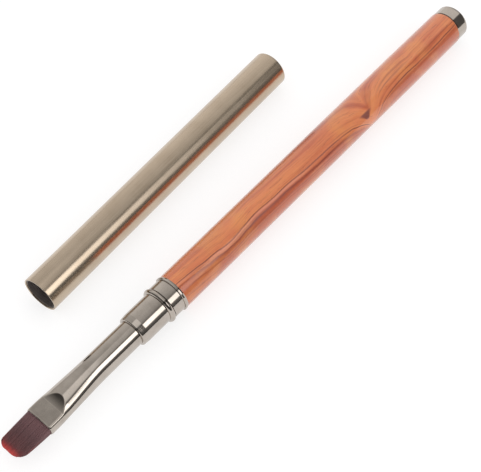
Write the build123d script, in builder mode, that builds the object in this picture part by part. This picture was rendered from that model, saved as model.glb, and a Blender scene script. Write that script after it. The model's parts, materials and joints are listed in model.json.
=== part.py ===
from build123d import *
from math import cos, radians, sin, tan
import os

# Flat acrylic nail brush with a slip-on metal cap, lying uncapped on a table with the cap beside it.
# Millimetres, +Z up. The brush points along X with its hair towards -X, and the table is Z = 0.
# The origin is on the table, below the middle of the whole set.

# ---------------------------------------------------------------- hair
tuft_length = 8.2  # free hair beyond the ferrule's mouth
tuft_tip_thickness = 0.7
tuft_tip_corner = 1.3  # plan-view rounding of the tip's corners
hair_play = 0.02  # around the gathered hair, the thread and the resin in the ferrule
hinge_gap = 0.1  # between the tuft's rounded root and the mouth
root_length = 11.6  # hair held in the ferrule, up to the binding
binding_turns = 6
thread_diameter = 0.3
thread_pitch = 0.33
binding_margin = 0.15  # bound hair before the first turn and after the last
glue_length = 3.0

# ---------------------------------------------------------------- ferrule
ferrule_diameter = 5.85
ferrule_wall = 0.25
ferrule_reach = 25.7  # visible length, from the neck to the mouth
ferrule_insertion = 6.0  # length held inside the neck
flat_thickness = 3.05
flat_spread = 1.01  # how much wider than the round tube its pressed mouth is
flat_length = 3.8  # mouth to the foot of the ramp
ramp_angle = 32.0
even_length = 2.5  # mouth to where the tube starts to narrow
press_length = 11.0  # mouth to where the tube is round again
press_steps = 12  # cross-sections that shape the change
press_edge_round = 0.2

# ---------------------------------------------------------------- neck and collar
joint_play = 0.02  # radial play of every glued or pressed joint
neck_wall = 0.675  # neck sleeve's wall around the ferrule
neck_length = 7.5  # front end to the bead
neck_nose_length = 1.6  # slight taper at the front of the neck
neck_nose_taper = 0.14  # radius lost along that taper
neck_nose_round = 0.3
bead_height = 0.65
bead_length = 1.3
sleeve_wall = 0.32  # neck sleeve's wall around the handle's spigot
sleeve_setback = 0.5  # sleeve's rear end to the collar's rear face
collar_wall = 0.33
collar_length = 3.5
rim_height = 0.3  # rim above the collar
rim_length = 0.75
rim_bevel_length = 0.3
rim_bevel_height = 0.13
rim_edge_round = 0.12

# ---------------------------------------------------------------- handle and tail
handle_length = 94.4  # visible wood
handle_swell = 0.16  # radius gained from the front end to the fullest place
handle_swell_from_rear = 17.0
handle_rear_fall = 0.05  # radius lost from the fullest place to the rear end
handle_edge_round = 0.2
tenon_length = 4.6  # handle's front tenon, inside the ferrule
tail_step = 0.12  # wood's radius above the tail cap's
tail_length = 3.6
tail_edge_round = 0.8
tail_front_chamfer = 0.3
tail_spigot_diameter = 4.0
tail_spigot_length = 6.0
end_play = 0.1  # axial gap at the bottom of each blind joint

# ---------------------------------------------------------------- cap
cap_length = 77.0
cap_wall = 0.32
cap_end_thickness = 0.6
cap_end_round = 0.5
cap_mouth_chamfer = 0.12  # inside the mouth
cap_mouth_round = 0.08  # outside the mouth
cap_slide_play = 0.03  # radial play of the liner on the neck
liner_wall = 0.245
liner_length = 8.0
liner_recess = 0.3  # mouth to the liner's front
liner_play = 0.01  # around the liner in the cap
ring_count = 4
ring_pitch = 0.45
ring_width = 0.2
ring_depth = 0.08
ring_start = 0.35  # liner's front to the first ring

# ---------------------------------------------------------------- where the cap lies
cap_mouth_ahead = 18.35  # mouth ahead of the handle's front end
cap_beside = 20.24  # mouth beside the brush's axis
cap_yaw = 2.28  # degrees between the cap and the brush

# ---------------------------------------------------------------- fits across the axis
flat_width = ferrule_diameter + flat_spread
ferrule_bore_radius = ferrule_diameter / 2 - ferrule_wall
hair_thickness = flat_thickness - 2 * (ferrule_wall + hair_play)
hair_width = flat_width - 2 * (ferrule_wall + hair_play)
thread_ring_radius = ferrule_bore_radius - hair_play - thread_diameter / 2
bound_radius = thread_ring_radius - thread_diameter / 2 - hair_play
neck_bore_radius = ferrule_diameter / 2 + joint_play
neck_radius = neck_bore_radius + neck_wall
spigot_bore_radius = neck_radius - sleeve_wall
spigot_radius = spigot_bore_radius - joint_play
tenon_radius = ferrule_bore_radius - joint_play
collar_bore_radius = neck_radius + joint_play
collar_radius = collar_bore_radius + collar_wall
rim_radius = collar_radius + rim_height
wood_front_radius = rim_radius - rim_bevel_height
wood_swell_radius = wood_front_radius + handle_swell
wood_rear_radius = wood_swell_radius - handle_rear_fall
tail_radius = wood_rear_radius - tail_step
tail_spigot_radius = tail_spigot_diameter / 2
tail_bore_radius = tail_spigot_radius + joint_play
liner_bore_radius = neck_radius + cap_slide_play
liner_radius = liner_bore_radius + liner_wall
cap_bore_radius = liner_radius + liner_play
cap_radius = cap_bore_radius + cap_wall

# ---------------------------------------------------------------- stations along the brush
# Measured from the wood's front end, which is also the collar's rear face.
collar_front = -collar_length
bead_front = collar_front - bead_length
neck_front = bead_front - neck_length
nose_rear = neck_front + neck_nose_length
mouth = neck_front - ferrule_reach
bend_station = mouth - hinge_gap - hair_thickness / 2
tip = mouth - tuft_length
root_rear = mouth + root_length
first_turn = root_rear + binding_margin + thread_diameter / 2
glue_front = first_turn + (binding_turns - 1) * thread_pitch + thread_diameter / 2 + binding_margin
ferrule_rear = neck_front + ferrule_insertion
bore_step = ferrule_rear + end_play
spigot_front = bore_step + end_play
tenon_front = spigot_front - tenon_length
sleeve_rear = -sleeve_setback
swell_station = handle_length - handle_swell_from_rear
spigot_bottom = handle_length - tail_spigot_length
tail_end = handle_length + tail_length

# ---------------------------------------------------------------- placement
yaw = radians(cap_yaw)
brush_height = max(wood_swell_radius, rim_radius, neck_radius + bead_height)
cap_far_side = (
    cap_beside
    + (cap_length - cap_end_round) * sin(yaw)
    + (cap_radius - cap_end_round) * cos(yaw)
    + cap_end_round
)
origin_x = -(tip + tail_end) / 2
origin_y = (brush_height - cap_far_side) / 2
brush_plane = Plane(
    origin=(origin_x, origin_y, brush_height), x_dir=(1, 0, 0), z_dir=(0, -1, 0)
)
cap_plane = Plane(
    origin=(origin_x - cap_mouth_ahead, origin_y + cap_beside, cap_radius),
    x_dir=(cos(yaw), sin(yaw), 0),
    z_dir=(sin(yaw), -cos(yaw), 0),
)
brush_axis = Axis(brush_plane.origin, brush_plane.x_dir)
cap_axis = Axis(cap_plane.origin, cap_plane.x_dir)


def cross_section(station):
    """Plane across the brush's axis, with its x along the brush's width."""
    return Plane(
        origin=brush_plane.from_local_coords((station, 0, 0)), x_dir=(0, 1, 0), z_dir=(1, 0, 0)
    )


def roundness(distance):
    """How far the tube is back to round at a distance from its mouth: 0 is flat, 1 is round."""
    share = max(distance - even_length, 0) / (press_length - even_length)
    return share * share * (3 - 2 * share)


def pressed_form(inset, rear, edge_round=0):
    """The ferrule's form from its mouth to a rear station, shrunk all round by an inset."""
    half_thickness = flat_thickness / 2 - inset
    slope = tan(radians(ramp_angle))
    foot = mouth + flat_length + inset * (1 / cos(radians(ramp_angle)) - 1) / slope
    clear_height = ferrule_diameter / 2 + ferrule_wall
    ramp_end = foot + (clear_height - half_thickness) / slope
    round_station = mouth + press_length
    with BuildPart() as form:
        for step in range(press_steps + 1):
            distance = press_length * step / press_steps
            share = roundness(distance)
            width = flat_width + (ferrule_diameter - flat_width) * share
            with BuildSketch(cross_section(mouth + distance)):
                Ellipse(width / 2 - inset, ferrule_diameter / 2 - inset)
        loft()
        with BuildSketch(brush_plane):
            with BuildLine():
                Polyline(
                    (mouth, -half_thickness),
                    (foot, -half_thickness),
                    (ramp_end, -clear_height),
                    (round_station, -clear_height),
                    (round_station, clear_height),
                    (ramp_end, clear_height),
                    (foot, half_thickness),
                    (mouth, half_thickness),
                    close=True,
                )
            make_face()
        extrude(amount=flat_width, both=True, mode=Mode.INTERSECT)
        flats = form.faces().filter_by(Axis.Z)
        if edge_round > 0:
            fillet(flats.edges().filter_by(Axis.Y, reverse=True), edge_round)
        with BuildSketch(cross_section(round_station)):
            Circle(ferrule_diameter / 2 - inset)
        extrude(amount=rear - round_station)
    return form.part


os.makedirs("parts", exist_ok=True)

# Free hair: a wedge that is rounded about the line it bends over, just outside the mouth.
with BuildPart() as bristle_tuft:
    with BuildSketch(brush_plane):
        with BuildLine():
            root_arc = CenterArc((bend_station, 0), hair_thickness / 2, -90, 180)
            Line(root_arc @ 1, (tip, tuft_tip_thickness / 2))
            Line((tip, tuft_tip_thickness / 2), (tip, -tuft_tip_thickness / 2))
            Line((tip, -tuft_tip_thickness / 2), root_arc @ 0)
        make_face()
    extrude(amount=hair_width / 2, both=True)
    fillet(edges().filter_by(Axis.Z).group_by(Axis.X)[0], tuft_tip_corner)
bristle_tuft.part.label = "bristle_tuft"
export_step(bristle_tuft.part, "parts/bristle_tuft.step")

# Hair gathered in the ferrule, drawn together at its rear by the binding.
gathered_hair = pressed_form(ferrule_wall + hair_play, root_rear)
with BuildPart() as bristle_root:
    add(gathered_hair)
    with BuildSketch(cross_section(root_rear)):
        Circle(bound_radius)
    extrude(amount=glue_front - root_rear)
bristle_root.part.label = "bristle_root"
export_step(bristle_root.part, "parts/bristle_root.step")

# Turns of thread around the bound hair.
with BuildPart() as root_thread:
    for turn in range(binding_turns):
        with BuildSketch(brush_plane):
            with Locations((first_turn + turn * thread_pitch, thread_ring_radius)):
                Circle(thread_diameter / 2)
        revolve(axis=brush_axis)
root_thread.part.label = "root_thread"
export_step(root_thread.part, "parts/root_thread.step")

# Resin plug behind the bound hair.
with BuildPart() as glue_plug:
    with BuildSketch(cross_section(glue_front)):
        Circle(ferrule_bore_radius - hair_play)
    extrude(amount=glue_length)
glue_plug.part.label = "glue_plug"
export_step(glue_plug.part, "parts/glue_plug.step")

# Thin tube, flattened at the mouth between two inclined ramps.
ferrule_outside = pressed_form(0, ferrule_rear, press_edge_round)
ferrule_inside = pressed_form(ferrule_wall, ferrule_rear)
with BuildPart() as ferrule:
    add(ferrule_outside)
    add(ferrule_inside, mode=Mode.SUBTRACT)
ferrule.part.label = "ferrule"
export_step(ferrule.part, "parts/ferrule.step")

# Neck with a tapered, rounded nose, a half-round bead that stops the cap, and a rear tube under the collar.
with BuildPart() as neck_sleeve:
    with BuildSketch(brush_plane):
        with BuildLine():
            front = Polyline(
                (neck_front, neck_bore_radius),
                (neck_front, neck_radius - neck_nose_taper),
                (nose_rear, neck_radius),
                (bead_front, neck_radius),
            )
            bead = SagittaArc(front @ 1, (collar_front, neck_radius), bead_height)
            Polyline(
                bead @ 1,
                (sleeve_rear, neck_radius),
                (sleeve_rear, spigot_bore_radius),
                (bore_step, spigot_bore_radius),
                (bore_step, neck_bore_radius),
                front @ 0,
            )
        make_face()
        fillet(vertices().group_by(Axis.X)[0].sort_by(Axis.Y)[-1], neck_nose_round)
    revolve(axis=brush_axis)
neck_sleeve.part.label = "neck_sleeve"
export_step(neck_sleeve.part, "parts/neck_sleeve.step")

# Collar over the sleeve's rear tube, with a wider rim against the wood.
with BuildPart() as collar:
    with BuildSketch(brush_plane):
        with BuildLine():
            Polyline(
                (collar_front, collar_bore_radius),
                (collar_front, collar_radius),
                (-rim_length, collar_radius),
                (-rim_length, rim_radius),
                (-rim_bevel_length, rim_radius),
                (0, wood_front_radius),
                (0, collar_bore_radius),
                close=True,
            )
        make_face()
        fillet(vertices().group_by(Axis.Y)[-1].sort_by(Axis.X)[0], rim_edge_round)
    revolve(axis=brush_axis)
collar.part.label = "collar"
export_step(collar.part, "parts/collar.step")

# Turned wood: a tenon and a spigot in front, a slight swell towards the tail, a blind bore behind.
with BuildPart() as handle:
    with BuildSketch(brush_plane):
        with BuildLine():
            Polyline(
                (tenon_front, 0),
                (tenon_front, tenon_radius),
                (spigot_front, tenon_radius),
                (spigot_front, spigot_radius),
                (0, spigot_radius),
                (0, wood_front_radius),
                (swell_station, wood_swell_radius),
                (handle_length, wood_rear_radius),
                (handle_length, tail_bore_radius),
                (spigot_bottom - end_play, tail_bore_radius),
                (spigot_bottom - end_play, 0),
                close=True,
            )
        make_face()
        fillet(vertices().group_by(Axis.X)[-1].sort_by(Axis.Y)[-1], handle_edge_round)
    revolve(axis=brush_axis)
handle.part.label = "handle"
export_step(handle.part, "parts/handle.step")

# Tail cap with a spigot glued into the wood.
with BuildPart() as tail_cap:
    with BuildSketch(brush_plane):
        with BuildLine():
            Polyline(
                (spigot_bottom, 0),
                (spigot_bottom, tail_spigot_radius),
                (handle_length, tail_spigot_radius),
                (handle_length, tail_radius - tail_front_chamfer),
                (handle_length + tail_front_chamfer, tail_radius),
                (tail_end, tail_radius),
                (tail_end, 0),
                close=True,
            )
        make_face()
        fillet(vertices().group_by(Axis.X)[-1].sort_by(Axis.Y)[-1], tail_edge_round)
    revolve(axis=brush_axis)
tail_cap.part.label = "tail_cap"
export_step(tail_cap.part, "parts/tail_cap.step")

# Drawn metal cap, closed at its far end.
cap_floor = cap_length - cap_end_thickness
with BuildPart() as cap_tube:
    with BuildSketch(cap_plane):
        with BuildLine():
            Polyline(
                (0, cap_bore_radius + cap_mouth_chamfer),
                (0, cap_radius),
                (cap_length, cap_radius),
                (cap_length, 0),
                (cap_floor, 0),
                (cap_floor, cap_bore_radius),
                (cap_mouth_chamfer, cap_bore_radius),
                close=True,
            )
        make_face()
        fillet(vertices().group_by(Axis.X)[-1].sort_by(Axis.Y)[-1], cap_end_round)
        fillet(vertices().group_by(Axis.X)[0].sort_by(Axis.Y)[-1], cap_mouth_round)
    revolve(axis=cap_axis)
cap_tube.part.label = "cap_tube"
export_step(cap_tube.part, "parts/cap_tube.step")

# Sleeve pressed into the cap's mouth: fine rings at its front, then the bore that grips the neck.
with BuildPart() as cap_liner:
    with BuildSketch(cap_plane):
        with Locations((liner_recess, liner_bore_radius)):
            Rectangle(liner_length, liner_wall, align=(Align.MIN, Align.MIN))
        for ring in range(ring_count):
            with Locations((liner_recess + ring_start + ring * ring_pitch, liner_bore_radius)):
                Rectangle(ring_width, ring_depth, align=(Align.MIN, Align.MIN), mode=Mode.SUBTRACT)
    revolve(axis=cap_axis)
cap_liner.part.label = "cap_liner"
export_step(cap_liner.part, "parts/cap_liner.step")
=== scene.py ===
import json
import math
import random

import bmesh
import bpy
from mathutils import Matrix, Vector


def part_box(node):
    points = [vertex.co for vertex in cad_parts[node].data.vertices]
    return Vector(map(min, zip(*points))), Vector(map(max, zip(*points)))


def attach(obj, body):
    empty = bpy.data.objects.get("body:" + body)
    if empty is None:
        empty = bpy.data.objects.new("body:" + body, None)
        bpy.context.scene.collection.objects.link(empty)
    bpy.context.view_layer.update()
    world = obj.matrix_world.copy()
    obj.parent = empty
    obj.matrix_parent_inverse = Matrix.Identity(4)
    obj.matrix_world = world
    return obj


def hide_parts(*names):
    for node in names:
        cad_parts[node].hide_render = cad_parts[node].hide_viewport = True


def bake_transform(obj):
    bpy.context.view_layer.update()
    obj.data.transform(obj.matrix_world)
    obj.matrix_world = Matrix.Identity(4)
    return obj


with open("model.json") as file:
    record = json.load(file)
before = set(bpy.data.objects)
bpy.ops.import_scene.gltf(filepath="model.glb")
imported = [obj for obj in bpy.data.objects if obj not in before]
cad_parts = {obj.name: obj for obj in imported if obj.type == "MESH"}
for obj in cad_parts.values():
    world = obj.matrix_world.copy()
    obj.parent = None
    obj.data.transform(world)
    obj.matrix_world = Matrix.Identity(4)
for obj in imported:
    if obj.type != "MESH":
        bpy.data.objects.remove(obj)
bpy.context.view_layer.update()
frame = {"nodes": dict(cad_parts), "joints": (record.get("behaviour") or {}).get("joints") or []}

# A flat nail brush with its cap off, on a white table. Lengths are in metres, unless a name or a
# comment says millimetres, and the axes are the frame's.
MM = 0.001
TO_MM = (1 / MM, 1 / MM, 1 / MM)
SMOOTH = {"interpolation_type": "SMOOTHSTEP"}
RGBA = {"data_type": "RGBA"}
random.seed(7)

# ------------------------------------------------------------------ places, all read from the frame
nodes = frame["nodes"]
handle_low, handle_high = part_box("handle")
tuft_low, tuft_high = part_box("bristle_tuft")
ferrule_low, ferrule_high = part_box("ferrule")
mouth_x = ferrule_low.x
neck_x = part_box("neck_sleeve")[0].x
wood_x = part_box("collar")[1].x
root_low, root_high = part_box("bristle_root")
axis_y = (handle_low.y + handle_high.y) / 2
axis_z = (handle_low.z + handle_high.z) / 2
cap_axis = Vector(next(j["axis"] for j in frame["joints"] if j["name"] == "cap_slide"))
cap_yaw = math.atan2(cap_axis.y, cap_axis.x)


# ------------------------------------------------------------------ small helpers
def linear(code):
    """Linear colour from an sRGB hex code."""
    channels = [int(code[i:i + 2], 16) / 255 for i in (1, 3, 5)]
    return [c / 12.92 if c <= 0.04045 else ((c + 0.055) / 1.055) ** 2.4 for c in channels] + [1.0]


def add(tree, kind, settings=None, **inputs):
    """Add a node, set its properties, and set or link its inputs (by name, or _0, _1 by number)."""
    node = tree.nodes.new(kind)
    for name, value in (settings or {}).items():
        setattr(node, name, value)
    for name, value in inputs.items():
        key = int(name[1:]) if name[0] == "_" else name.replace("_", " ")
        if isinstance(value, bpy.types.Node):
            value = value.outputs[0]
        if isinstance(value, bpy.types.NodeSocket):
            tree.links.new(value, node.inputs[key])
        else:
            node.inputs[key].default_value = value
    return node


def set_ramp(node, stops):
    """Give a colour ramp its stops as (position, linear colour or grey)."""
    ramp = node.color_ramp
    while len(ramp.elements) < len(stops):
        ramp.elements.new(1.0)
    for element, (position, colour) in zip(ramp.elements, stops):
        element.position = position
        element.color = colour if hasattr(colour, "__len__") else [colour, colour, colour, 1]


def set_curve(node, points, corners=()):
    """Give a float curve its points; the ones numbered in corners stay sharp."""
    curve = node.mapping.curves[0]
    while len(curve.points) < len(points):
        curve.points.new(0.5, 0.5)
    for number, (point, place) in enumerate(zip(curve.points, points)):
        point.location = place
        point.handle_type = "VECTOR" if number in corners else "AUTO_CLAMPED"
    node.mapping.update()


def new_material(name):
    """An empty material, with its node tree and the principled shader at its output."""
    material = bpy.data.materials.new(name)
    material.use_nodes = True
    tree = material.node_tree
    tree.nodes.clear()
    shader = add(tree, "ShaderNodeBsdfPrincipled")
    add(tree, "ShaderNodeOutputMaterial", Surface=shader.outputs["BSDF"])
    return material, tree, shader


def feed(tree, shader, **links):
    """Link sockets to the shader's inputs by name."""
    for name, source in links.items():
        source = source.outputs[0] if isinstance(source, bpy.types.Node) else source
        tree.links.new(source, shader.inputs[name.replace("_", " ")])


def dress(node_name, material):
    """Give a carried-over CAD node its material."""
    for slot in nodes[node_name].material_slots:
        slot.material = material


def corners_of(parts):
    """Only the corners among the parts of a mesh."""
    return [part for part in parts if isinstance(part, bmesh.types.BMVert)]


def finished(name, bm, material):
    """Turn drawn geometry into an object of one material, in the scene."""
    mesh = bpy.data.meshes.new(name)
    bm.to_mesh(mesh)
    bm.free()
    mesh.materials.append(material)
    piece = bpy.data.objects.new(name, mesh)
    bpy.context.scene.collection.objects.link(piece)
    return piece


# ------------------------------------------------------------------ materials
# Every pattern's scale is its number of features in a millimetre.
#
# Brass tube with polished nickel plate: a slightly warm, darkish mirror. Buffing leaves hair-fine
# rings 0.1 mm apart, and handling leaves 2 mm clouds and 0.2 mm specks in the shine.
nickel, tree, shader = new_material("polished_nickel_plate")
shader.inputs["Metallic"].default_value = 1.0
place = add(tree, "ShaderNodeTexCoord").outputs["Object"]
in_mm = add(tree, "ShaderNodeMapping", Vector=place, Scale=TO_MM).outputs[0]
ring_lines = add(tree, "ShaderNodeMapping", Vector=in_mm, Scale=(9.0, 0.35, 0.35))
buffing = add(tree, "ShaderNodeTexNoise", Vector=ring_lines, Scale=1.0, Detail=3.0)
cloud = add(tree, "ShaderNodeTexNoise", Vector=in_mm, Scale=0.45, Detail=4.0, Roughness=0.6)
speck = add(tree, "ShaderNodeTexNoise", Vector=in_mm, Scale=5.0, Detail=2.0)
tint = add(tree, "ShaderNodeValToRGB", Fac=cloud.outputs["Fac"])
set_ramp(tint, [(0.25, linear("#aca399")), (0.5, linear("#b6ada4")), (0.75, linear("#bdb4aa"))])
grime = add(tree, "ShaderNodeMapRange", Value=speck.outputs["Fac"], From_Min=0.62, From_Max=0.72,
            To_Max=0.35)
stained = add(tree, "ShaderNodeMix", RGBA, Factor=grime, _6=tint, _7=linear("#9b9389"))
haze = add(tree, "ShaderNodeMapRange", Value=cloud.outputs["Fac"], From_Min=0.3, From_Max=0.7,
           To_Min=0.05, To_Max=0.10)
rub = add(tree, "ShaderNodeMath", {"operation": "MULTIPLY_ADD"}, _0=buffing.outputs["Fac"],
          _1=0.04, _2=haze)
relief = add(tree, "ShaderNodeBump", Strength=0.10, Distance=0.02 * MM,
             Height=buffing.outputs["Fac"])
feed(tree, shader, Base_Color=stained.outputs[2], Roughness=rub, Normal=relief)

# Drawn aluminium tube, satin finished and anodised pale champagne: a soft metal shine with draw
# lines 0.15 mm apart and 8 mm long, and a dye that is slightly uneven over 5 mm.
champagne, tree, shader = new_material("champagne_anodised_aluminium")
shader.inputs["Metallic"].default_value = 1.0
place = add(tree, "ShaderNodeTexCoord").outputs["Object"]
in_mm = add(tree, "ShaderNodeMapping", Vector=place, Scale=TO_MM).outputs[0]
turned = add(tree, "ShaderNodeVectorRotate", {"rotation_type": "Z_AXIS"}, Vector=in_mm,
             Angle=-cap_yaw)
draw_lines = add(tree, "ShaderNodeMapping", Vector=turned, Scale=(0.12, 7.0, 7.0))
drawing = add(tree, "ShaderNodeTexNoise", Vector=draw_lines, Scale=1.0, Detail=3.0)
cloud = add(tree, "ShaderNodeTexNoise", Vector=in_mm, Scale=0.2, Detail=3.0)
tone = add(tree, "ShaderNodeMath", {"operation": "MULTIPLY"}, _0=drawing.outputs["Fac"], _1=0.45)
tone = add(tree, "ShaderNodeMath", {"operation": "MULTIPLY_ADD"}, _0=cloud.outputs["Fac"],
           _1=0.55, _2=tone)
dye = add(tree, "ShaderNodeValToRGB", Fac=tone)
set_ramp(dye, [(0.3, linear("#b7a590")), (0.5, linear("#c0af9b")), (0.7, linear("#c8b7a2"))])
satin = add(tree, "ShaderNodeMapRange", Value=drawing.outputs["Fac"], From_Min=0.3, From_Max=0.7,
            To_Min=0.17, To_Max=0.25)
relief = add(tree, "ShaderNodeBump", Strength=0.15, Distance=0.02 * MM,
             Height=drawing.outputs["Fac"])
feed(tree, shader, Base_Color=dye, Roughness=satin, Normal=relief)

# Rosewood, turned, sanded and lacquered to a gloss: orange-red wood with long dark veins, a pale
# streak that is partly painted highlight, short dark pores and one knot, under a clear smooth coat.
wood, tree, shader = new_material("lacquered_rosewood")
shader.inputs["IOR"].default_value = 1.5
shader.inputs["Coat Weight"].default_value = 1.0
shader.inputs["Coat Roughness"].default_value = 0.12
WOOD_SPAN = 100.0                # mm that the curves along the handle cover
place = add(tree, "ShaderNodeTexCoord").outputs["Object"]
in_mm = add(tree, "ShaderNodeMapping", Vector=place, Scale=TO_MM,
            Location=(-wood_x / MM, -axis_y / MM, -axis_z / MM)).outputs[0]
parts = add(tree, "ShaderNodeSeparateXYZ", Vector=in_mm)
along = parts.outputs["X"]
minus_y = add(tree, "ShaderNodeMath", {"operation": "MULTIPLY"}, _0=parts.outputs["Y"], _1=-1.0)
angle = add(tree, "ShaderNodeMath", {"operation": "ARCTAN2"}, _0=minus_y, _1=parts.outputs["Z"])
degrees = add(tree, "ShaderNodeMath", {"operation": "DEGREES"}, _0=angle)
part_way = add(tree, "ShaderNodeMath", {"operation": "DIVIDE"}, _0=along, _1=WOOD_SPAN)
# the fibres wander along the handle: (mm behind the collar, degrees off straight)
WANDER_SPAN = 90.0
WANDER = [(0, -18), (5, -13), (11, -4), (15, 1), (17.5, 0), (20, -3), (23.5, -5.5), (27, -4),
          (33, 0), (39, 5), (47, 8), (57, 9.5), (69, 9), (75, 8), (79.5, 12), (85, 10.5), (94, 7)]
wander = add(tree, "ShaderNodeFloatCurve", Value=part_way)
set_curve(wander, [(x / WOOD_SPAN, 0.5 + a / WANDER_SPAN) for x, a in WANDER])
# a knot pulls them all to it: (mm behind the collar, degrees)
PULL = [(0, 0), (42, 0), (49, 2), (53, 5.5), (56.5, 16), (58.9, 31), (60.4, 50), (61.4, 62),
        (62.6, 46), (64.3, 30), (66.1, 16), (69, 7), (73, 2), (78, 0), (94, 0)]
KNOT_PULL = max(a for x, a in PULL)
peak = [number for number, (x, a) in enumerate(PULL) if a == KNOT_PULL]
pull = add(tree, "ShaderNodeFloatCurve", Value=part_way)
set_curve(pull, [(x / WOOD_SPAN, a / KNOT_PULL) for x, a in PULL], corners=peak)
# both are full at the main vein, and fade over the top and on the far side
near_vein = add(tree, "ShaderNodeMapRange", SMOOTH, Value=degrees,
                From_Min=-70, From_Max=25, To_Min=0.15, To_Max=1.0)
near_knot = add(tree, "ShaderNodeMapRange", SMOOTH, Value=degrees,
                From_Min=-105, From_Max=48, To_Min=0.0, To_Max=KNOT_PULL)
past_knot = add(tree, "ShaderNodeMapRange", SMOOTH, Value=degrees,
                From_Min=95, From_Max=175, To_Min=1.0, To_Max=0.0)
wander_degrees = add(tree, "ShaderNodeMapRange", {"clamp": False}, Value=wander,
                     To_Min=-WANDER_SPAN / 2, To_Max=WANDER_SPAN / 2)
shift = add(tree, "ShaderNodeMath", {"operation": "MULTIPLY"}, _0=wander_degrees, _1=near_vein)
shift = add(tree, "ShaderNodeMath", {"operation": "MULTIPLY_ADD"}, _0=pull, _1=near_knot, _2=shift)
shift = add(tree, "ShaderNodeMath", {"operation": "MULTIPLY"}, _0=shift, _1=past_knot)
# the grain also drifts by a few degrees over about 5 mm
drift = add(tree, "ShaderNodeMapping", Vector=in_mm, Scale=(0.11, 0.25, 0.25))
drift = add(tree, "ShaderNodeTexNoise", Vector=drift, Scale=1.0, Detail=2.0)
drift = add(tree, "ShaderNodeMapRange", Value=drift.outputs["Fac"], To_Min=-6.0, To_Max=6.0)
shift = add(tree, "ShaderNodeMath", {"operation": "ADD"}, _0=shift, _1=drift)
turn = add(tree, "ShaderNodeMath", {"operation": "RADIANS"}, _0=shift)
fibre = add(tree, "ShaderNodeVectorRotate", {"rotation_type": "X_AXIS", "invert": True},
            Vector=in_mm, Angle=turn).outputs[0]
grain = add(tree, "ShaderNodeMath", {"operation": "SUBTRACT"}, _0=degrees, _1=shift)

# colour streaks 2 mm wide and 30 mm long, fibres 0.4 mm wide and 10 mm long, pores 0.2 mm wide and
# 2 mm long, and honey-coloured patches 6 mm across
broad = add(tree, "ShaderNodeMapping", Vector=fibre, Scale=(0.03, 0.55, 0.55))
broad = add(tree, "ShaderNodeTexNoise", Vector=broad, Scale=1.0, Detail=3.0, Roughness=0.55)
fine = add(tree, "ShaderNodeMapping", Vector=fibre, Scale=(0.10, 2.6, 2.6))
fine = add(tree, "ShaderNodeTexNoise", Vector=fine, Scale=1.0, Detail=3.0, Roughness=0.6)
pores = add(tree, "ShaderNodeMapping", Vector=fibre, Scale=(0.55, 4.5, 4.5))
pores = add(tree, "ShaderNodeTexNoise", Vector=pores, Scale=1.0, Detail=1.0)
mottle = add(tree, "ShaderNodeTexNoise", Vector=in_mm, Scale=0.16, Detail=2.0)

ground = add(tree, "ShaderNodeValToRGB", Fac=broad.outputs["Fac"])
set_ramp(ground, [(0.28, linear("#b9552e")), (0.42, linear("#cf6d3d")), (0.56, linear("#da7c46")),
                  (0.72, linear("#e28d4d"))])
redness = add(tree, "ShaderNodeMapRange", SMOOTH, Value=grain,
              From_Min=34, From_Max=46, To_Min=0.0, To_Max=0.75)
colour = add(tree, "ShaderNodeMix", RGBA, Factor=redness, _6=ground,
             _7=linear("#b04a24"))
honey = add(tree, "ShaderNodeMapRange", Value=mottle.outputs["Fac"], From_Min=0.50, From_Max=0.70,
            To_Max=0.45)
colour = add(tree, "ShaderNodeMix", RGBA, Factor=honey, _6=colour.outputs[2],
             _7=linear("#e09046"))

# the veins, and a pale band that is partly painted highlight: (degrees across the grain, from mm, to
# mm, half width in degrees, strength, colour)
VEIN_AND_HIGHLIGHT_FADE = 7.0                  # mm over which each band comes and goes
VEINS_AND_HIGHLIGHT = [
    # the first band is pale: partly the wood's own streak, partly a painted highlight of the strip
    # panel in the lacquer
    (35.0, -6, 42, 6.0, 0.45, "#d98c76"),
    (30.0, -9, 110, 3.2, 0.85, "#743526"),
    (45.0, 0, 60, 7.0, 0.80, "#93391a"),
    (43.5, -4, 58, 2.4, 0.55, "#6f2f20"),
    (38.0, 62, 110, 8.0, 0.60, "#a03c1c"),
    (58.0, -2, 62, 4.0, 0.55, "#93401f"),
    (66.0, 8, 80, 3.0, 0.45, "#803a24"),
    (16.0, 68, 110, 2.6, 0.60, "#8a4128"),
    (22.5, 45, 60, 3.0, 0.50, "#94492c"),
    (2.0, 63, 80, 3.4, 0.60, "#86402c"),
    (-7.0, 63, 82, 4.0, 0.60, "#92472c"),
    (-40.0, -5, 46, 4.0, 0.45, "#964c30"),
    (-78.0, 5, 44, 3.2, 0.65, "#7d3a25"),
    (-92.0, -5, 110, 7.0, 0.55, "#a04420"),
    (104.0, -5, 110, 3.4, 0.65, "#7a3824"),
    (122.0, 10, 95, 6.0, 0.55, "#983e1e"),
    (150.0, -5, 80, 2.8, 0.60, "#743526"),
    (-140.0, 20, 110, 3.2, 0.60, "#7d3a25"),
]
breaks = add(tree, "ShaderNodeMapRange", Value=fine.outputs["Fac"], From_Min=0.35, From_Max=0.6,
             To_Min=0.55, To_Max=1.15)
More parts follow.
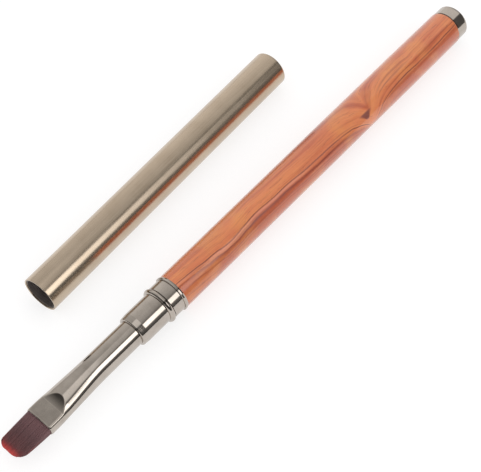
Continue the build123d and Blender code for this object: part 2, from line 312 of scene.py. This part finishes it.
for middle, start, end, half, strength, code in VEINS_AND_HIGHLIGHT:
    off = add(tree, "ShaderNodeMath", {"operation": "SUBTRACT"}, _0=grain, _1=middle)
    off = add(tree, "ShaderNodeMath", {"operation": "ABSOLUTE"}, _0=off)
    body = add(tree, "ShaderNodeMapRange", SMOOTH, Value=off,
               From_Min=0.0, From_Max=half, To_Min=strength, To_Max=0.0)
    begin = add(tree, "ShaderNodeMapRange", SMOOTH, Value=along,
                From_Min=start, From_Max=start + VEIN_AND_HIGHLIGHT_FADE)
    finish = add(tree, "ShaderNodeMapRange", SMOOTH, Value=along,
                 From_Min=end - VEIN_AND_HIGHLIGHT_FADE, From_Max=end, To_Min=1.0, To_Max=0.0)
    body = add(tree, "ShaderNodeMath", {"operation": "MULTIPLY"}, _0=body, _1=begin)
    body = add(tree, "ShaderNodeMath", {"operation": "MULTIPLY"}, _0=body, _1=finish)
    body = add(tree, "ShaderNodeMath", {"operation": "MULTIPLY", "use_clamp": True}, _0=body,
               _1=breaks)
    colour = add(tree, "ShaderNodeMix", RGBA, Factor=body, _6=colour.outputs[2],
                 _7=linear(code))

# the knot: a small dark wedge where the fibres meet, narrower towards the edge of the top
KNOT_AT, KNOT_TURN = 60.0, 48.0          # mm behind the collar, degrees
KNOT_WIDE, KNOT_NARROW = 2.1, 0.4        # half its length at either end, in mm
off_along = add(tree, "ShaderNodeMath", {"operation": "SUBTRACT"}, _0=along, _1=KNOT_AT)
off_turn = add(tree, "ShaderNodeMath", {"operation": "SUBTRACT"}, _0=degrees, _1=KNOT_TURN)
knot_side = add(tree, "ShaderNodeMath", {"operation": "ABSOLUTE"}, _0=off_along)
knot_half = add(tree, "ShaderNodeMapRange", Value=off_turn, From_Min=-9.0, From_Max=11.0,
                To_Min=KNOT_WIDE, To_Max=KNOT_NARROW)
knot_far = add(tree, "ShaderNodeMath", {"operation": "DIVIDE"}, _0=knot_side, _1=knot_half)
knot_end = add(tree, "ShaderNodeMath", {"operation": "ABSOLUTE"}, _0=off_turn)
knot_end = add(tree, "ShaderNodeMapRange", SMOOTH, Value=knot_end,
               From_Min=8.0, From_Max=14.0, To_Min=0.85, To_Max=0.0)
knot_dark = add(tree, "ShaderNodeMapRange", SMOOTH, Value=knot_far,
                From_Min=0.45, From_Max=1.15, To_Min=1.0, To_Max=0.0)
knot_dark = add(tree, "ShaderNodeMath", {"operation": "MULTIPLY"}, _0=knot_dark, _1=knot_end)
fine_dark = add(tree, "ShaderNodeMapRange", Value=fine.outputs["Fac"], From_Min=0.50, From_Max=0.30,
                To_Max=0.55)
pore_dark = add(tree, "ShaderNodeMapRange", Value=pores.outputs["Fac"], From_Min=0.66, From_Max=0.74,
                To_Max=0.40)
for share, code in ((knot_dark, "#6a2c2c"), (fine_dark, "#a2512e"), (pore_dark, "#7e4431")):
    colour = add(tree, "ShaderNodeMix", RGBA, Factor=share, _6=colour.outputs[2], _7=linear(code))
satin = add(tree, "ShaderNodeMapRange", Value=fine.outputs["Fac"], To_Min=0.32, To_Max=0.52)
relief = add(tree, "ShaderNodeBump", Strength=0.12, Distance=0.04 * MM, Height=fine.outputs["Fac"])
feed(tree, shader, Base_Color=colour.outputs[2], Roughness=satin, Normal=relief)

# Polypropylene sleeve, moulded: dark and dull, with 0.1 mm grit and 2 mm flow marks.
sleeve_plastic, tree, shader = new_material("moulded_polypropylene")
place = add(tree, "ShaderNodeTexCoord").outputs["Object"]
grit = add(tree, "ShaderNodeTexNoise", Vector=place, Scale=9.0 / MM, Detail=2.0)
flow = add(tree, "ShaderNodeTexNoise", Vector=place, Scale=0.5 / MM, Detail=2.0)
shade = add(tree, "ShaderNodeValToRGB", Fac=flow.outputs["Fac"])
set_ramp(shade, [(0.3, linear("#57504d")), (0.7, linear("#6a625d"))])
dull = add(tree, "ShaderNodeMapRange", Value=grit.outputs["Fac"], To_Min=0.30, To_Max=0.50)
relief = add(tree, "ShaderNodeBump", Strength=0.3, Distance=0.02 * MM, Height=grit.outputs["Fac"])
feed(tree, shader, Base_Color=shade, Roughness=dull, Normal=relief)

# Nylon hair dyed red-brown: the colour is partly that dye and partly painted light passing through,
# dark where the tuft is thick and bright red at its thin ends and edges, paler near the mouth. Each
# hair has its own tone, and dull stretches 4 mm long.
hair, tree, shader = new_material("dyed_nylon_hair")
shader.inputs["IOR"].default_value = 1.53
# how much painted light passes through the hair there, partly standing for the red ends' dye
reach = add(tree, "ShaderNodeAttribute", {"attribute_name": "thin"}).outputs["Fac"]
own = add(tree, "ShaderNodeAttribute", {"attribute_name": "tone"}).outputs["Fac"]
place = add(tree, "ShaderNodeTexCoord").outputs["Object"]
strip = add(tree, "ShaderNodeMapping", Vector=place, Scale=(0.25 / MM, 9.0 / MM, 9.0 / MM))
strip = add(tree, "ShaderNodeTexNoise", Vector=strip, Scale=1.0, Detail=2.0)
mixed = add(tree, "ShaderNodeMath", {"operation": "MULTIPLY_ADD"}, _0=strip.outputs["Fac"], _1=0.16,
            _2=reach)
mixed = add(tree, "ShaderNodeMath", {"operation": "MULTIPLY_ADD"}, _0=own, _1=0.12, _2=mixed)
colour = add(tree, "ShaderNodeValToRGB", Fac=mixed)
set_ramp(colour, [(0.02, linear("#60494b")), (0.22, linear("#6b4848")), (0.45, linear("#824343")),
                  (0.72, linear("#c04a46")), (1.0, linear("#dd6a60"))])
PALE_FOR = 4.5 * MM
parts = add(tree, "ShaderNodeSeparateXYZ", Vector=place)
at_mouth = add(tree, "ShaderNodeMapRange", Value=parts.outputs["X"], From_Min=mouth_x - PALE_FOR,
               From_Max=mouth_x, To_Max=0.75)
colour = add(tree, "ShaderNodeMix", RGBA, Factor=at_mouth, _6=colour,
             _7=linear("#866364"))
gloss = add(tree, "ShaderNodeMapRange", Value=own, To_Min=0.30, To_Max=0.48)
feed(tree, shader, Base_Color=colour.outputs[2], Roughness=gloss)

# The same hair, bound and out of sight in the ferrule: bundles 0.2 mm across, dulled by glue.
bound, tree, shader = new_material("bound_nylon_hair")
place = add(tree, "ShaderNodeTexCoord").outputs["Object"]
strip = add(tree, "ShaderNodeMapping", Vector=place, Scale=(0.12 / MM, 4.5 / MM, 4.5 / MM))
strip = add(tree, "ShaderNodeTexNoise", Vector=strip, Scale=1.0, Detail=3.0)
colour = add(tree, "ShaderNodeValToRGB", Fac=strip.outputs["Fac"])
set_ramp(colour, [(0.3, linear("#3f2b33")), (0.55, linear("#5f4046")), (0.75, linear("#7a454b"))])
dull = add(tree, "ShaderNodeMapRange", Value=strip.outputs["Fac"], To_Min=0.35, To_Max=0.6)
relief = add(tree, "ShaderNodeBump", Strength=0.8, Distance=0.08 * MM, Height=strip.outputs["Fac"])
feed(tree, shader, Base_Color=colour, Roughness=dull, Normal=relief)

# Waxed linen thread, three plies laid up: slanting ply lines 0.25 mm apart and stray fluff.
thread, tree, shader = new_material("waxed_linen_thread")
place = add(tree, "ShaderNodeTexCoord").outputs["Object"]
slant = add(tree, "ShaderNodeMapping", Vector=place, Rotation=(0.0, 0.6, 0.5))
plies = add(tree, "ShaderNodeTexWave", {"bands_direction": "DIAGONAL"}, Vector=slant, Scale=0.64 / MM,
            Distortion=1.5, Detail=2.0)
colour = add(tree, "ShaderNodeValToRGB", Fac=plies.outputs["Fac"])
set_ramp(colour, [(0.1, linear("#8d8068")), (0.6, linear("#c8bca0")), (1.0, linear("#d8cdb4"))])
dull = add(tree, "ShaderNodeMapRange", Value=plies.outputs["Fac"], To_Min=0.75, To_Max=0.55)
relief = add(tree, "ShaderNodeBump", Strength=0.6, Distance=0.08 * MM, Height=plies.outputs["Fac"])
feed(tree, shader, Base_Color=colour, Roughness=dull, Normal=relief)

# Cured amber epoxy, poured: glossy, slightly cloudy, with pin bubbles about 0.2 mm across.
resin, tree, shader = new_material("amber_epoxy")
shader.inputs["IOR"].default_value = 1.55
shader.inputs["Transmission Weight"].default_value = 0.35
place = add(tree, "ShaderNodeTexCoord").outputs["Object"]
bubbles = add(tree, "ShaderNodeTexVoronoi", Vector=place, Scale=2.2 / MM)
clouds = add(tree, "ShaderNodeTexNoise", Vector=place, Scale=0.7 / MM, Detail=3.0)
pin = add(tree, "ShaderNodeMapRange", Value=bubbles.outputs["Distance"], From_Min=0.18,
          From_Max=0.28, To_Min=1.0, To_Max=0.0)
colour = add(tree, "ShaderNodeValToRGB", Fac=clouds.outputs["Fac"])
set_ramp(colour, [(0.3, linear("#a8762f")), (0.7, linear("#cf9d4c"))])
colour = add(tree, "ShaderNodeMix", RGBA, Factor=pin, _6=colour,
             _7=linear("#ecd9ae"))
wet = add(tree, "ShaderNodeMapRange", Value=clouds.outputs["Fac"], To_Min=0.12, To_Max=0.28)
relief = add(tree, "ShaderNodeBump", Strength=0.4, Distance=0.05 * MM, Height=pin)
feed(tree, shader, Base_Color=colour.outputs[2], Roughness=wet, Normal=relief)

for name, material in (("neck_sleeve", nickel), ("collar", nickel), ("tail_cap", nickel),
                       ("handle", wood), ("cap_tube", champagne), ("cap_liner", sleeve_plastic),
                       ("root_thread", thread), ("glue_plug", resin)):
    dress(name, material)

# ------------------------------------------------------------------ the ferrule's skin, press-formed
# A round tube with its end squashed to an oval and pressed flat on both faces. The flat ends in a
# short ramp that steepens to a blunt point. The hair's root inside follows the same shape.
AROUND = 144                     # edges round the tube
TUBE_RADIUS = (ferrule_high.z - ferrule_low.z) / 2
MOUTH_HALF_WIDTH = (ferrule_high.y - ferrule_low.y) / 2
MOUTH_HALF_HEIGHT = 2.30 * MM    # what the oval would have without the flats
ELLIPSE, MOUTH_SQUARENESS = 2.0, 2.5     # a larger power is squarer
SQUASH_FROM, SQUASH_TO = 2.0 * MM, 16.5 * MM     # behind the mouth, where the oval turns round
SQUARE_FOR = 4.0 * MM            # from there, until the oval is an ellipse
FLAT_HALF = 1.525 * MM           # from the axis up to the flat
FLAT_END = 3.8 * MM
RAMP_SLOPE = math.tan(math.radians(15.5))        # at the foot of the ramp
RAMP_CURVE = 0.036 / MM
RAMP_REACH = 5.0 * MM            # past the ramp's point
FOLD, CREASE = 0.10 * MM, 0.05 * MM      # rounding of the flat's edge, and of the ramp's
RIM_ROLL, RIM_LENGTH = 0.10 * MM, 0.30 * MM
WALL = 0.25 * MM
ROOT_PLAY = 0.04 * MM
HIDDEN = 1.2 * MM                # what reaches into the neck
SHARP_FROM, SHARP_TO = 3.5 * MM, 7.5 * MM        # where the shape needs short steps
SHAPED_TO = 17.0 * MM
SHORT_STEP, STEP, LONG_STEP = 0.07 * MM, 0.25 * MM, 1.0 * MM


def smooth_least(first, second, blend):
    """The lesser of two lengths, rounded over where they meet."""
    share = max(blend - abs(first - second), 0.0) / blend
    return min(first, second) - share * share * blend / 4


def ease(share):
    """0 to 1, with a gentle start and end."""
    share = min(1.0, max(0.0, share))
    return share * share * (3 - 2 * share)


def tube_reach(turn, behind):
    """From the axis to the skin, at a turn from straight up and a length behind the mouth."""
    side, up = abs(math.sin(turn)), abs(math.cos(turn))
    part = ease((behind - SQUASH_FROM) / (SQUASH_TO - SQUASH_FROM))
    wide = MOUTH_HALF_WIDTH + (TUBE_RADIUS - MOUTH_HALF_WIDTH) * part
    high = MOUTH_HALF_HEIGHT + (TUBE_RADIUS - MOUTH_HALF_HEIGHT) * part
    less_square = ease((behind - SQUASH_FROM) / SQUARE_FOR)
    power = MOUTH_SQUARENESS + (ELLIPSE - MOUTH_SQUARENESS) * less_square
    oval = ((side / wide) ** power + (up / high) ** power) ** (-1 / power)
    run = min(max(0.0, behind - FLAT_END), RAMP_REACH)
    ramp = FLAT_HALF + run * RAMP_SLOPE + run * run * RAMP_CURVE
    nearly_level = 0.05          # keeps the ramp's reach finite at the sides
    reach = smooth_least(oval, ramp / max(nearly_level, up), FOLD if behind < FLAT_END else CREASE)
    return reach - RIM_ROLL * max(0.0, 1 - behind / RIM_LENGTH) ** 2


def pressed_tube(name, first, last, inset, material):
    """The tube between two lengths behind the mouth, or with an inset the solid inside it."""
    stations = [first]
    while stations[-1] < last - 0.01 * MM:
        here = stations[-1]
        sharp = SHARP_FROM < here < SHARP_TO or here < RIM_LENGTH
        step = SHORT_STEP if sharp else STEP if here < SHAPED_TO else LONG_STEP
        stations.append(min(last, here + step))
    bm = bmesh.new()
    bmesh.ops.create_circle(bm, segments=AROUND, radius=1.0)
    bmesh.ops.rotate(bm, verts=bm.verts, matrix=Matrix.Rotation(math.radians(-90), 3, "Y"))
    edges = bm.edges[:]
    # one ring a unit apart for each station, then each corner goes to its place
    for _ in stations[1:]:
        drawn = bmesh.ops.extrude_edge_only(bm, edges=edges)["geom"]
        bmesh.ops.translate(bm, vec=(1, 0, 0), verts=corners_of(drawn))
        edges = [part for part in drawn if isinstance(part, bmesh.types.BMEdge)
                 and abs(part.verts[0].co.x - part.verts[1].co.x) < 0.5]
    for corner in bm.verts:
        behind = stations[round(corner.co.x)]
        turn = math.atan2(corner.co.y, corner.co.z)
        reach = tube_reach(turn, behind) - inset
        corner.co = (mouth_x + behind, axis_y + reach * math.sin(turn),
                     axis_z + reach * math.cos(turn))
    if inset:
        bmesh.ops.holes_fill(bm, edges=bm.edges[:], sides=0)
    bmesh.ops.recalc_face_normals(bm, faces=bm.faces)
    if not inset:
        bmesh.ops.solidify(bm, geom=bm.faces[:], thickness=WALL)
    for face in bm.faces:
        face.smooth = True
    piece = finished(name, bm, material)
    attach(piece, "brush")
    return piece


pressed = pressed_tube("pressed_ferrule", 0.0, neck_x - mouth_x + HIDDEN, 0.0, nickel)
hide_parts("ferrule")
root_piece = pressed_tube("bound_root", root_low.x - mouth_x, root_high.x - mouth_x,
                          WALL + ROOT_PLAY, bound)
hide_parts("bristle_root")

# ------------------------------------------------------------------ the tuft, hair by hair
HAIRS = 1500
HAIR_STEPS = 6
HAIR_RADIUS = 0.075 * MM
TAPER_FROM, TIP_SHARE = 0.35, 0.45       # where a hair starts to thin, and the radius left at its tip
TAPER_POWER, GATHER_POWER = 1.5, 1.3     # above 1, a hair thins late and the tuft narrows late
TUFT_SQUARENESS = 6              # of the tuft's section, where 2 is an ellipse
TIP_WIDTH = 0.965                # the tuft's width and thickness at its tip, as shares of the mouth's
TIP_THICKNESS = 0.24
CORNER_NEAR = 2.6 * MM           # radius of the rounder corner at the tip, and of the squarer one
CORNER_CAP = 1.6 * MM
TIP_SET_BACK = 0.10 * MM
TIP_SCATTER, SIDE_SCATTER, BOW_SCATTER = 0.10, 0.02, 0.015       # spread of the hairs, in mm
SHORT_EVERY, SHORT_BY = 9, (0.1, 0.7)    # every ninth hair is shorter, by this many mm
LOCK_FROM, LOCK_GAP = 0.86, 0.10 * MM    # one lock stands off at the squarer corner
ROOT_DEPTH = 0.9 * MM            # inside the mouth
# Light coming through where the tuft is thin is painted into the hair's colour, partly with the red
# ends' dye: a little in its last 5 mm and much in its last 1.15 mm (strength, mm), and at its two
# edges (strength, from this share of the half width), where it fades away from the tip (full until
# 1.1 mm, gone at 6.6 mm).
THIN_LENGTH, THIN_TIP, THIN_EDGE = (0.20, 5.0), (0.62, 1.15), (0.60, 0.93)
EDGE_LEVEL, EDGE_FADE = 1.2, 5.5
tuft_half_width = (tuft_high.y - tuft_low.y) / 2 - HAIR_RADIUS
tuft_half_height = (tuft_high.z - tuft_low.z) / 2 - HAIR_RADIUS
tuft_middle_y = (tuft_low.y + tuft_high.y) / 2
tuft_middle_z = (tuft_low.z + tuft_high.z) / 2
tip_x = tuft_low.x
root_x = mouth_x + ROOT_DEPTH

bm = bmesh.new()
thin_layer = bm.verts.layers.float.new("thin")
tone_layer = bm.verts.layers.float.new("tone")
# one hair: a four-sided rod of unit length, drawn out in steps
bmesh.ops.create_circle(bm, cap_ends=True, segments=4, radius=1.0)
bmesh.ops.rotate(bm, verts=bm.verts, matrix=Matrix.Rotation(math.radians(-90), 3, "Y"))
end = bm.faces[:]
for step in range(HAIR_STEPS):
    drawn = bmesh.ops.extrude_face_region(bm, geom=end)["geom"]
    bmesh.ops.translate(bm, vec=(-1 / HAIR_STEPS, 0, 0), verts=corners_of(drawn))
    if step:             # the first face stays, as the root's end
        bmesh.ops.delete(bm, geom=end, context="FACES_ONLY")
    end = [part for part in drawn if isinstance(part, bmesh.types.BMFace)]
bmesh.ops.recalc_face_normals(bm, faces=bm.faces)
rod = bm.verts[:] + bm.edges[:] + bm.faces[:]


def lay_hair(corners, root, tip, bow, tone):
    """Bend one drawn rod from its root to its tip, taper it, and note how thin the tuft is there."""
    for corner in corners:
        part_way = min(1.0, max(0.0, -corner.co.x))
        tapered = max(0.0, (part_way - TAPER_FROM) / (1 - TAPER_FROM)) ** TAPER_POWER
        slim = 1.0 - (1.0 - TIP_SHARE) * tapered
        flat = part_way ** GATHER_POWER
        middle = Vector((root.x + (tip.x - root.x) * part_way,
                         root.y + (tip.y - root.y) * flat + bow * math.sin(math.pi * part_way),
                         root.z + (tip.z - root.z) * flat))
        left = (middle.x - tip_x) / MM
        edge = abs(middle.y - tuft_middle_y) / tuft_half_width
        # the painted light that comes through the thin tuft here, partly the red ends' dye
        thin = sum(strength * max(0.0, 1 - left / over) for strength, over in (THIN_LENGTH, THIN_TIP))
        at_edge = max(0.0, (edge - THIN_EDGE[1]) / (1 - THIN_EDGE[1]))
        thin += THIN_EDGE[0] * at_edge * min(1.0, max(0.0, EDGE_LEVEL - left / EDGE_FADE))
        corner[thin_layer] = thin
        corner[tone_layer] = tone
        corner.co = middle + Vector((0, corner.co.y, corner.co.z)) * (HAIR_RADIUS * slim)


for number in range(HAIRS):
    # every hair is a copy of the rod, except for the last, which is the rod
    last_one = number == HAIRS - 1
    corners = corners_of(rod if last_one else bmesh.ops.duplicate(bm, geom=rod)["geom"])
    across = random.uniform(-1, 1)
    up = random.uniform(-1, 1)
    rounded = (1 - abs(across) ** TUFT_SQUARENESS) ** (1 / TUFT_SQUARENESS)
    root = Vector((root_x, tuft_middle_y + across * tuft_half_width,
                   tuft_middle_z + up * rounded * tuft_half_height))
    # the far corner on the outer side is well rounded, the one towards the cap less so
    corner_round = CORNER_CAP if across > 0 else CORNER_NEAR
    into = (abs(across) * tuft_half_width - (tuft_half_width - corner_round)) / corner_round
    reach_back = corner_round * (1 - math.sqrt(1 - min(1.0, max(0.0, into)) ** 2)) + TIP_SET_BACK
    reach_back += abs(random.gauss(0, TIP_SCATTER)) * MM
    if number % SHORT_EVERY == 0:
        reach_back += random.uniform(*SHORT_BY) * MM
    spread = across * tuft_half_width * TIP_WIDTH
    if across > LOCK_FROM:
        spread += LOCK_GAP
    tip = Vector((tip_x + reach_back, tuft_middle_y + spread + random.gauss(0, SIDE_SCATTER) * MM,
                  tuft_middle_z + up * rounded * tuft_half_height * TIP_THICKNESS))
    lay_hair(corners, root, tip, random.gauss(0, BOW_SCATTER) * MM, random.random())
tuft = finished("hair_tuft", bm, hair)
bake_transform(tuft)
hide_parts("bristle_tuft")

# ------------------------------------------------------------------ floor
# Matt white paper. Its own glow keeps it white and the shadows on it faint.
FLOOR_HALF = 3.0
FLOOR_GLOW = 0.70
paper, tree, shader = new_material("matt_white_paper")
shader.inputs["Base Color"].default_value = linear("#a3a2a1")
shader.inputs["Roughness"].default_value = 0.9
shader.inputs["Specular IOR Level"].default_value = 0.0
shader.inputs["Emission Color"].default_value = linear("#ffffff")
shader.inputs["Emission Strength"].default_value = FLOOR_GLOW
bm = bmesh.new()
bmesh.ops.create_grid(bm, x_segments=1, y_segments=1, size=FLOOR_HALF)
floor = finished("floor", bm, paper)

# ------------------------------------------------------------------ soft studio light
# The sky is a pale tent with a strip panel and a small fill lamp. Each is the product of two tables:
# degrees round the X axis from straight up, positive towards -Y, and how far a direction points
# along X. The tent has its own look towards the hair's end and towards the tail's end.
world = bpy.data.worlds.new("studio")
bpy.context.scene.world = world
world.use_nodes = True
tree = world.node_tree
tree.nodes.clear()
direction = add(tree, "ShaderNodeTexCoord").outputs["Generated"]
parts = add(tree, "ShaderNodeSeparateXYZ", Vector=direction)
minus_y = add(tree, "ShaderNodeMath", {"operation": "MULTIPLY"}, _0=parts.outputs["Y"], _1=-1.0)
around = add(tree, "ShaderNodeMath", {"operation": "ARCTAN2"}, _0=minus_y, _1=parts.outputs["Z"])
around = add(tree, "ShaderNodeMapRange", Value=around, From_Min=-math.pi, From_Max=math.pi)
lengthwise = add(tree, "ShaderNodeMapRange", Value=parts.outputs["X"], From_Min=-1, From_Max=1)

# round the X axis: (degrees, brightness)
AROUND_X = {
    "tent": [(-180, 0.60), (-100, 0.75), (-76, 0.93), (-57, 0.87), (-41, 0.78), (-26, 0.70),
             (-12, 0.65), (1, 0.57), (14, 0.50), (23, 0.36), (31, 0.28), (40, 0.20), (60, 0.20),
             (68, 0.28), (76, 0.17), (90, 0.10), (97, 0.16), (120, 0.40)],
    "front": [(-180, 0.60), (-100, 0.75), (-76, 0.93), (-57, 0.87), (-41, 0.78), (-26, 0.70),
              (-12, 0.65), (14, 0.62), (20, 0.50), (24, 0.08), (35, 0.08), (39, 0.35),
              (56, 0.35), (62, 0.08), (88, 0.08), (97, 0.25), (120, 0.40)],
    "tail": [(-180, 0.60), (-100, 0.75), (-80, 0.93), (19, 0.88), (23, 0.12), (86, 0.12),
             (92, 0.40)],
    "panel": [(32, 0.0), (36, 1.0), (60, 1.0), (65, 0.0)],
    "fill": [(-19, 0.0), (-13, 1.0), (20, 1.0), (27, 0.0)],
}
# along X: (how far the direction points that way, brightness)
ALONG_X = {
    "tent": [(-1.0, 0.40), (-0.80, 0.32), (-0.66, 0.14), (-0.48, 0.10), (-0.30, 0.65),
             (0.0, 0.95), (0.12, 0.90), (0.20, 0.68), (0.27, 0.85), (0.32, 0.98), (0.47, 1.08),
             (0.66, 1.05), (0.85, 0.45), (1.0, 0.40)],
    "panel": [(0.15, 0.0), (0.20, 1.0), (0.27, 0.95), (0.35, 0.65), (0.39, 0.33), (0.47, 0.10),
              (0.56, 0.0)],
    "fill": [(-0.15, 0.0), (-0.02, 1.0), (0.23, 1.0), (0.29, 0.15), (0.34, 0.0)],
}
STRENGTH = {"tent": 1.2, "panel": 3.0, "fill": 0.55}
RAMP_TOP = {"tent": 1.2, "panel": 1.0, "fill": 1.0}      # a ramp holds no more than 1
FRONT_FADE, TAIL_FADE = (0.05, 0.17), (0.49, 0.57)       # where the tent changes along X
WARM, NEUTRAL, COOL = (1.0, 0.985, 0.965, 1), (1, 1, 1, 1), (0.98, 0.98, 1.0, 1)

round_x, along_x = {}, {}
for name, stops in AROUND_X.items():
    round_x[name] = add(tree, "ShaderNodeValToRGB", Fac=around)
    set_ramp(round_x[name], [((degrees + 180) / 360, level) for degrees, level in stops])
for name, stops in ALONG_X.items():
    along_x[name] = add(tree, "ShaderNodeValToRGB", Fac=lengthwise)
    set_ramp(along_x[name], [((way + 1) / 2, level / RAMP_TOP[name]) for way, level in stops])
from_front = add(tree, "ShaderNodeMapRange", Value=parts.outputs["X"], From_Min=FRONT_FADE[0],
                 From_Max=FRONT_FADE[1])
to_tail = add(tree, "ShaderNodeMapRange", Value=parts.outputs["X"], From_Min=TAIL_FADE[0],
              From_Max=TAIL_FADE[1])
tent = add(tree, "ShaderNodeMix", RGBA, Factor=from_front, _6=round_x["front"], _7=round_x["tent"])
tent = add(tree, "ShaderNodeMix", RGBA, Factor=to_tail, _6=tent.outputs[2], _7=round_x["tail"])
level = {}
for name, source in (("tent", tent.outputs[2]), ("panel", round_x["panel"]),
                     ("fill", round_x["fill"])):
    level[name] = add(tree, "ShaderNodeMath", {"operation": "MULTIPLY"}, _0=source,
                      _1=along_x[name])
    level[name] = add(tree, "ShaderNodeMath", {"operation": "MULTIPLY"}, _0=level[name],
                      _1=STRENGTH[name])
lamps = add(tree, "ShaderNodeMath", {"operation": "ADD"}, _0=level["panel"], _1=level["fill"])
tent_light = add(tree, "ShaderNodeBackground", Color=WARM, Strength=level["tent"])
lamp_light = add(tree, "ShaderNodeBackground", Color=NEUTRAL, Strength=lamps)
lit = add(tree, "ShaderNodeAddShader", _0=tent_light, _1=lamp_light)
# the backdrop and matt surfaces see an even light
even = add(tree, "ShaderNodeBackground", Color=COOL, Strength=1.0)
path = add(tree, "ShaderNodeLightPath")
matt = add(tree, "ShaderNodeMath", {"operation": "MAXIMUM"}, _0=path.outputs["Is Camera Ray"],
           _1=path.outputs["Is Diffuse Ray"])
mixed = add(tree, "ShaderNodeMixShader", Fac=matt, _1=lit, _2=even)
add(tree, "ShaderNodeOutputWorld", Surface=mixed)

# ------------------------------------------------------------------ camera
VIEW_CENTRE = Vector((-6.66, -13.07, 4.3)) * MM
VIEW_DISTANCE = 257.35 * MM
VIEW_ELEVATION, VIEW_HEADING = math.radians(57.86), math.radians(40.91)
camera_data = bpy.data.cameras.new("camera")
camera_data.sensor_width = 36
camera_data.lens = 91.5
camera_data.clip_start = 10 * MM
camera = bpy.data.objects.new("camera", camera_data)
bpy.context.scene.collection.objects.link(camera)
looking = Vector((math.cos(VIEW_ELEVATION) * math.cos(VIEW_HEADING),
                  math.cos(VIEW_ELEVATION) * math.sin(VIEW_HEADING), -math.sin(VIEW_ELEVATION)))
camera.location = VIEW_CENTRE - looking * VIEW_DISTANCE
camera.rotation_euler = (math.pi / 2 - VIEW_ELEVATION, 0, VIEW_HEADING - math.pi / 2)
bpy.context.scene.camera = camera
bpy.context.scene.view_settings.view_transform = "Standard"
